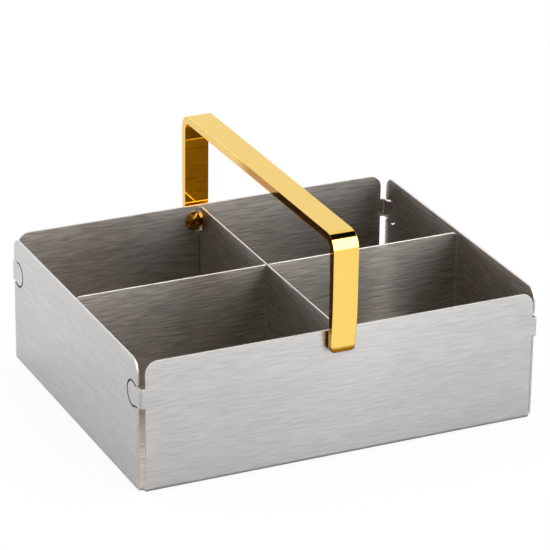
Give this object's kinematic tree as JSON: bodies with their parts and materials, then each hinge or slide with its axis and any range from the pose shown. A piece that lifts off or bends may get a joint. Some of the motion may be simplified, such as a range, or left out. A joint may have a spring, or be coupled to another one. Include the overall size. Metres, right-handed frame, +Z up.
{
  "type": "condiment caddy",
  "caption": "Open rectangular caddy of folded brushed sheet metal with a crossed divider insert and a flat-bar bail handle that swings on shoulder screws.",
  "frame": {"origin": "middle of the underside of the base", "axes": "+X along the long side, +Y from the front wall to the rear wall, +Z up; the handle stands upright at rest"},
  "size_m": [0.25, 0.214, 0.1392],
  "materials": {
    "brushed_sheet": "fine straight brushing, satin",
    "gold_bar": "polished gold tone"
  },
  "bodies": {
    "tray": {"tray_body": "brushed_sheet", "long_divider": "brushed_sheet", "cross_divider": "brushed_sheet"},
    "bail": {"handle": "gold_bar", "screw_front": "gold_bar", "screw_rear": "gold_bar", "spacer_front": "gold_bar", "spacer_rear": "gold_bar"}
  },
  "joints": [
    {"name": "handle_swing", "type": "hinge", "parent": "tray", "child": "bail", "pos_m": [-0.0058, 0, 0.0702], "axis": [0, 1, 0], "range_deg": [-76.2, 71.7]}
  ]
}
